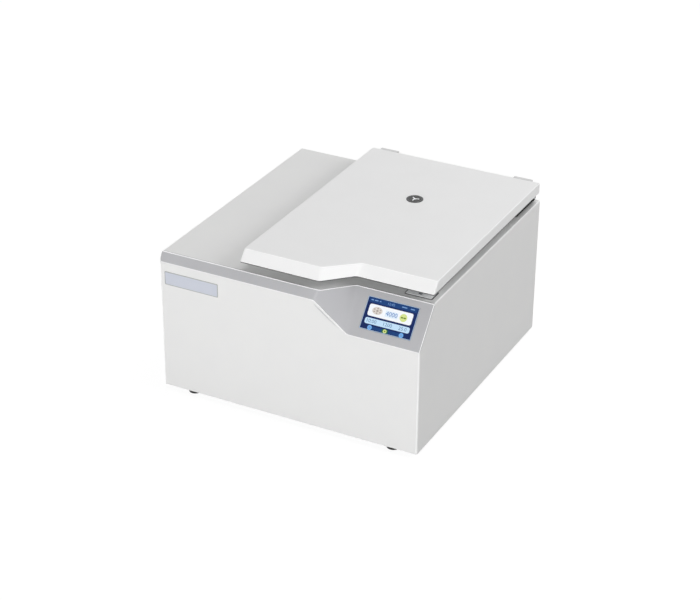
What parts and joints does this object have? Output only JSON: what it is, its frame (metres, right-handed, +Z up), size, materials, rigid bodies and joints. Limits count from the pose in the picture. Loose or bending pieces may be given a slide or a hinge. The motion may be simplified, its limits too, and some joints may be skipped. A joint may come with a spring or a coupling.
{
  "type": "cytocentrifuge",
  "caption": "Bench cytocentrifuge: white cabinet with slanted touch panel, hinged lid over a round chamber, and a rotor whose tilting carriers hold glass slides and funnels.",
  "frame": {"origin": "on the bench, under the middle of the footprint", "axes": "+X to the right seen from the front, +Y to the rear, +Z up"},
  "size_m": [0.57, 0.582, 0.3542],
  "materials": {
    "white_housing": "white moulded structural ABS, fine satin",
    "white_lid": "white moulded ABS, fine satin",
    "silver_trim": "silver-grey painted moulding, satin",
    "plate_pale": "anodised, satin",
    "pan_zinc": "zinc-plated sheet",
    "rear_sheet": "pale grey powder coat",
    "foot_rubber": "matt",
    "screw_steel": "bright zinc plate",
    "display_glass": "cover glass over a lit screen",
    "display_frame": "matt",
    "bowl_steel": "drawn stainless, satin",
    "guard_steel": "phosphated plate",
    "seal_rubber": "silicone, matt",
    "boot_rubber": "matt",
    "damper_rubber": "matt",
    "motor_plate_steel": "zinc-plated plate",
    "motor_aluminium": "die cast",
    "supply_case": "folded sheet",
    "drive_parts": "board with heat sink",
    "fan_black": "matt",
    "inlet_black": "matt",
    "lock_grey": "grey powder coat",
    "hinge_steel": "pale grey powder coat",
    "pin_steel": "ground",
    "liner_coat": "pale grey powder coat",
    "sight_dark": "dark grey",
    "sight_pane": "smoked",
    "arm_black": "black powder coat",
    "cover_grey": "satin",
    "hook_steel": "satin",
    "shaft_steel": "ground",
    "rotor_aluminium": "anodised",
    "rotor_lid_clear": "clear polycarbonate",
    "knob_black": "matt",
    "clip_steel": "stainless sheet",
    "slide_glass": "soda-lime glass",
    "funnel_white": "polypropylene",
    "rocker_black": "gloss",
    "drawer_black": "matt",
    "pull_red": "gloss"
  },
  "bodies": {
    "cabinet": {"housing": "white_housing", "front_trim": "silver_trim", "name_plate": "plate_pale", "base_pan": "pan_zinc", "rear_panel": "rear_sheet", "feet": "foot_rubber", "case_screws": "screw_steel", "display_glass": "display_glass", "display_module": "display_frame", "chamber_bowl": "bowl_steel", "guard_ring": "guard_steel", "rim_seal": "seal_rubber", "shaft_boot": "boot_rubber", "motor_dampers": "damper_rubber", "motor_plate": "motor_plate_steel", "motor_can": "motor_aluminium", "power_supply": "supply_case", "drive_board": "drive_parts", "fan_frame": "fan_black", "mains_inlet": "inlet_black", "switch_body": "inlet_black", "lock_case": "lock_grey", "hinge_brackets": "hinge_steel", "hinge_pins": "pin_steel"},
    "lid": {"lid_shell": "white_lid", "lid_liner": "liner_coat", "sight_ring": "sight_dark", "sight_glass": "sight_pane", "hinge_arms": "arm_black", "hinge_covers": "cover_grey", "lid_hook": "hook_steel", "lid_screws": "screw_steel"},
    "drive": {"motor_shaft": "shaft_steel"},
    "rotor": {"rotor_head": "rotor_aluminium", "rotor_posts": "rotor_aluminium"},
    "rotor_cover": {"rotor_lid": "rotor_lid_clear"},
    "knob": {"rotor_knob": "knob_black"},
    "fan": {"fan_impeller": "fan_black"},
    "rocker": {"power_rocker": "rocker_black"},
    "bolt": {"lock_bolt": "hook_steel"},
    "fuse_holder": {"fuse_drawer": "drawer_black"},
    "release": {"release_pull": "pull_red"},
    "carrier_1": {"slide_clip_1": "clip_steel", "glass_slide_1": "slide_glass", "sample_funnel_1": "funnel_white"},
    "carrier_2": {"slide_clip_2": "clip_steel", "glass_slide_2": "slide_glass", "sample_funnel_2": "funnel_white"},
    "carrier_3": {"slide_clip_3": "clip_steel", "glass_slide_3": "slide_glass", "sample_funnel_3": "funnel_white"},
    "carrier_4": {"slide_clip_4": "clip_steel", "glass_slide_4": "slide_glass", "sample_funnel_4": "funnel_white"},
    "carrier_5": {"slide_clip_5": "clip_steel", "glass_slide_5": "slide_glass", "sample_funnel_5": "funnel_white"},
    "carrier_6": {"slide_clip_6": "clip_steel", "glass_slide_6": "slide_glass", "sample_funnel_6": "funnel_white"}
  },
  "joints": [
    {"name": "lid_hinge", "type": "hinge", "parent": "cabinet", "child": "lid", "pos_m": [0.09, 0.276, 0.321], "axis": [-1, 0, 0], "range_deg": [0, 65]},
    {"name": "rotor_spin", "type": "hinge", "parent": "cabinet", "child": "drive", "pos_m": [0.09, 0.088, 0.1], "axis": [0, 0, 1], "continuous": true},
    {"name": "rotor_lift", "type": "slide", "parent": "drive", "child": "rotor", "axis": [0, 0, 1], "range_m": [0, 0.012]},
    {"name": "rotor_lid_lift", "type": "slide", "parent": "rotor", "child": "rotor_cover", "axis": [0, 0, 1], "range_m": [0, 0.012]},
    {"name": "knob_turn", "type": "hinge", "parent": "rotor_cover", "child": "knob", "pos_m": [0.09, 0.088, 0.28], "axis": [0, 0, 1], "range_deg": [0, 90]},
    {"name": "carrier_1_tilt", "type": "hinge", "parent": "rotor", "child": "carrier_1", "pos_m": [0.19219, 0.147, 0.1955], "axis": [-0.5, 0.866, 0], "range_deg": [0, 20]},
    {"name": "carrier_2_tilt", "type": "hinge", "parent": "rotor", "child": "carrier_2", "pos_m": [0.09, 0.206, 0.1955], "axis": [-1, 0, 0], "range_deg": [0, 20]},
    {"name": "carrier_3_tilt", "type": "hinge", "parent": "rotor", "child": "carrier_3", "pos_m": [-0.01219, 0.147, 0.1955], "axis": [-0.5, -0.866, 0], "range_deg": [0, 20]},
    {"name": "carrier_4_tilt", "type": "hinge", "parent": "rotor", "child": "carrier_4", "pos_m": [-0.01219, 0.029, 0.1955], "axis": [0.5, -0.866, 0], "range_deg": [0, 20]},
    {"name": "carrier_5_tilt", "type": "hinge", "parent": "rotor", "child": "carrier_5", "pos_m": [0.09, -0.03, 0.1955], "axis": [1, 0, 0], "range_deg": [0, 20]},
    {"name": "carrier_6_tilt", "type": "hinge", "parent": "rotor", "child": "carrier_6", "pos_m": [0.19219, 0.029, 0.1955], "axis": [0.5, 0.866, 0], "range_deg": [0, 20]},
    {"name": "fan_spin", "type": "hinge", "parent": "cabinet", "child": "fan", "pos_m": [-0.19, 0.27, 0.2], "axis": [0, 1, 0], "continuous": true},
    {"name": "power_rocker_tip", "type": "hinge", "parent": "cabinet", "child": "rocker", "pos_m": [-0.15, 0.283, 0.065], "axis": [-1, 0, 0], "range_deg": [0, 20]},
    {"name": "lock_bolt_slide", "type": "slide", "parent": "cabinet", "child": "bolt", "axis": [1, 0, 0], "range_m": [0, 0.012]},
    {"name": "fuse_drawer_slide", "type": "slide", "parent": "cabinet", "child": "fuse_holder", "axis": [0, 1, 0], "range_m": [0, 0.016]},
    {"name": "release_pull_slide", "type": "slide", "parent": "cabinet", "child": "release", "axis": [0, 1, 0], "range_m": [0, 0.006]}
  ],
  "couplings": [
    {"joint": "carrier_2_tilt", "follows": "carrier_1_tilt", "ratio": 1},
    {"joint": "carrier_3_tilt", "follows": "carrier_1_tilt", "ratio": 1},
    {"joint": "carrier_4_tilt", "follows": "carrier_1_tilt", "ratio": 1},
    {"joint": "carrier_5_tilt", "follows": "carrier_1_tilt", "ratio": 1},
    {"joint": "carrier_6_tilt", "follows": "carrier_1_tilt", "ratio": 1}
  ]
}
